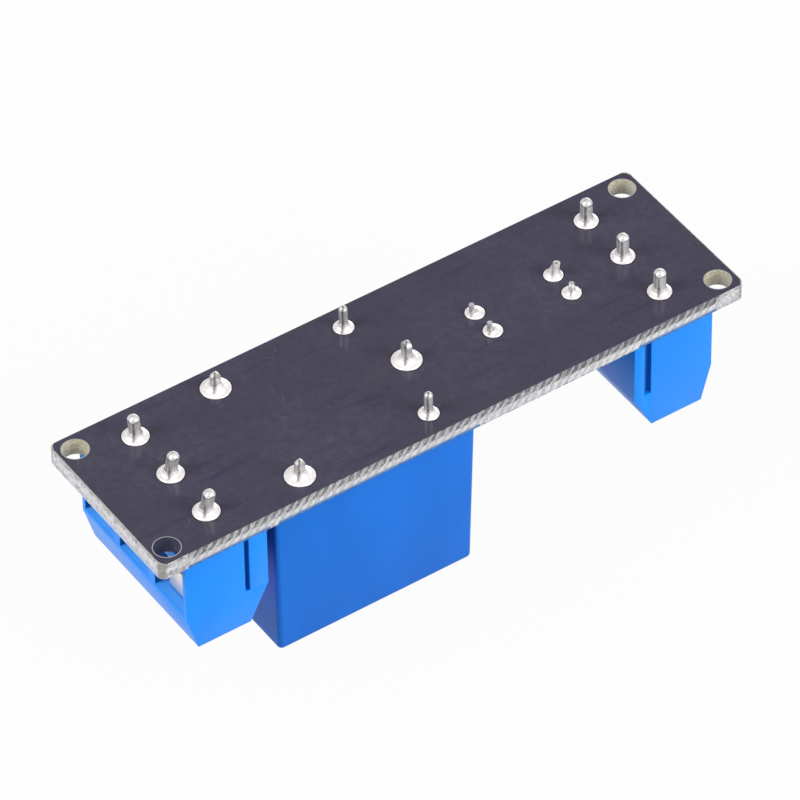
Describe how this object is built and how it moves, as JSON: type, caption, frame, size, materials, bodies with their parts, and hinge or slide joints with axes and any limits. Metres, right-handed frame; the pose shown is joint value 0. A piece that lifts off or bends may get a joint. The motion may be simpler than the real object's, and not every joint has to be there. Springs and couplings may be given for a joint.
{
  "type": "relay module board",
  "caption": "Narrow circuit board with a sealed relay between two screw terminal blocks, indicator lamps and corner holes, standing on its relay with the solder side up.",
  "frame": {"origin": "under the middle of the board, on the plane of the relay's outer face", "axes": "+X along the board towards the block beside the lamps, +Y across the board, +Z out of the solder side"},
  "size_m": [0.0558, 0.0164, 0.0192],
  "materials": {
    "board": "glossy dark solder mask over glass and epoxy laminate",
    "housing_plastic": "satin moulded blue polyamide",
    "case_plastic": "satin moulded blue case",
    "base_plastic": "matt moulded base",
    "bobbin_plastic": "matt moulded nylon",
    "tinned_brass": "tin-plated strip",
    "plated_steel": "zinc-plated steel",
    "relay_iron": "nickel-plated soft iron",
    "coil_copper": "lacquered copper wire",
    "contact_bronze": "phosphor bronze strip with silver contacts",
    "solder": "bright tin solder",
    "lead_wire": "tinned wire",
    "green_epoxy": "clear tinted epoxy",
    "red_epoxy": "clear tinted epoxy",
    "black_epoxy": "matt moulded epoxy",
    "chip_ceramic": "glazed chip with tinned ends"
  },
  "bodies": {
    "root": {"circuit_board": "board", "left_terminal_housing": "housing_plastic", "right_terminal_housing": "housing_plastic", "clamp_body_1": "tinned_brass", "clamp_body_2": "tinned_brass", "clamp_body_3": "tinned_brass", "clamp_body_4": "tinned_brass", "clamp_body_5": "tinned_brass", "clamp_body_6": "tinned_brass", "relay_case": "case_plastic", "relay_base": "base_plastic", "relay_yoke": "relay_iron", "relay_core": "relay_iron", "relay_bobbin": "bobbin_plastic", "relay_coil": "coil_copper", "common_terminal": "contact_bronze", "open_contact_terminal": "contact_bronze", "closed_contact_terminal": "contact_bronze", "coil_pins": "lead_wire", "power_led_lens": "green_epoxy", "power_led_leads": "lead_wire", "relay_led_lens": "red_epoxy", "relay_led_leads": "lead_wire", "transistor": "black_epoxy", "diode": "black_epoxy", "chip_resistors": "chip_ceramic", "terminal_solder": "solder", "relay_solder": "solder", "led_solder": "solder"},
    "plate_1": {"pressure_plate_1": "plated_steel"},
    "screw_1": {"terminal_screw_1": "plated_steel"},
    "plate_2": {"pressure_plate_2": "plated_steel"},
    "screw_2": {"terminal_screw_2": "plated_steel"},
    "plate_3": {"pressure_plate_3": "plated_steel"},
    "screw_3": {"terminal_screw_3": "plated_steel"},
    "plate_4": {"pressure_plate_4": "plated_steel"},
    "screw_4": {"terminal_screw_4": "plated_steel"},
    "plate_5": {"pressure_plate_5": "plated_steel"},
    "screw_5": {"terminal_screw_5": "plated_steel"},
    "plate_6": {"pressure_plate_6": "plated_steel"},
    "screw_6": {"terminal_screw_6": "plated_steel"},
    "armature": {"relay_armature": "relay_iron", "contact_blade": "contact_bronze"}
  },
  "joints": [
    {"name": "plate_travel_1", "type": "slide", "parent": "root", "child": "plate_1", "axis": [0, 0, 1], "range_m": [0, 0.0018]},
    {"name": "screw_turn_1", "type": "hinge", "parent": "plate_1", "child": "screw_1", "pos_m": [-0.0219, -0.00508, 0.0082], "axis": [0, 0, 1], "range_deg": [0, 1440]},
    {"name": "plate_travel_2", "type": "slide", "parent": "root", "child": "plate_2", "axis": [0, 0, 1], "range_m": [0, 0.0018]},
    {"name": "screw_turn_2", "type": "hinge", "parent": "plate_2", "child": "screw_2", "pos_m": [-0.0219, 0, 0.0082], "axis": [0, 0, 1], "range_deg": [0, 1440]},
    {"name": "plate_travel_3", "type": "slide", "parent": "root", "child": "plate_3", "axis": [0, 0, 1], "range_m": [0, 0.0018]},
    {"name": "screw_turn_3", "type": "hinge", "parent": "plate_3", "child": "screw_3", "pos_m": [-0.0219, 0.00508, 0.0082], "axis": [0, 0, 1], "range_deg": [0, 1440]},
    {"name": "plate_travel_4", "type": "slide", "parent": "root", "child": "plate_4", "axis": [0, 0, 1], "range_m": [0, 0.0018]},
    {"name": "screw_turn_4", "type": "hinge", "parent": "plate_4", "child": "screw_4", "pos_m": [0.0219, -0.00508, 0.0082], "axis": [0, 0, 1], "range_deg": [0, 1440]},
    {"name": "plate_travel_5", "type": "slide", "parent": "root", "child": "plate_5", "axis": [0, 0, 1], "range_m": [0, 0.0018]},
    {"name": "screw_turn_5", "type": "hinge", "parent": "plate_5", "child": "screw_5", "pos_m": [0.0219, 0, 0.0082], "axis": [0, 0, 1], "range_deg": [0, 1440]},
    {"name": "plate_travel_6", "type": "slide", "parent": "root", "child": "plate_6", "axis": [0, 0, 1], "range_m": [0, 0.0018]},
    {"name": "screw_turn_6", "type": "hinge", "parent": "plate_6", "child": "screw_6", "pos_m": [0.0219, 0.00508, 0.0082], "axis": [0, 0, 1], "range_deg": [0, 1440]},
    {"name": "armature_swing", "type": "hinge", "parent": "root", "child": "armature", "pos_m": [-0.00061, 0, 0.00422], "axis": [0, 1, 0], "range_deg": [0, 2], "stiffness_Nm_per_rad": 0.01, "springref_deg": -5.73}
  ],
  "couplings": [
    {"joint": "screw_turn_1", "follows": "plate_travel_1", "rad_per_m": 13963},
    {"joint": "screw_turn_2", "follows": "plate_travel_2", "rad_per_m": 13963},
    {"joint": "screw_turn_3", "follows": "plate_travel_3", "rad_per_m": 13963},
    {"joint": "screw_turn_4", "follows": "plate_travel_4", "rad_per_m": 13963},
    {"joint": "screw_turn_5", "follows": "plate_travel_5", "rad_per_m": 13963},
    {"joint": "screw_turn_6", "follows": "plate_travel_6", "rad_per_m": 13963}
  ]
}
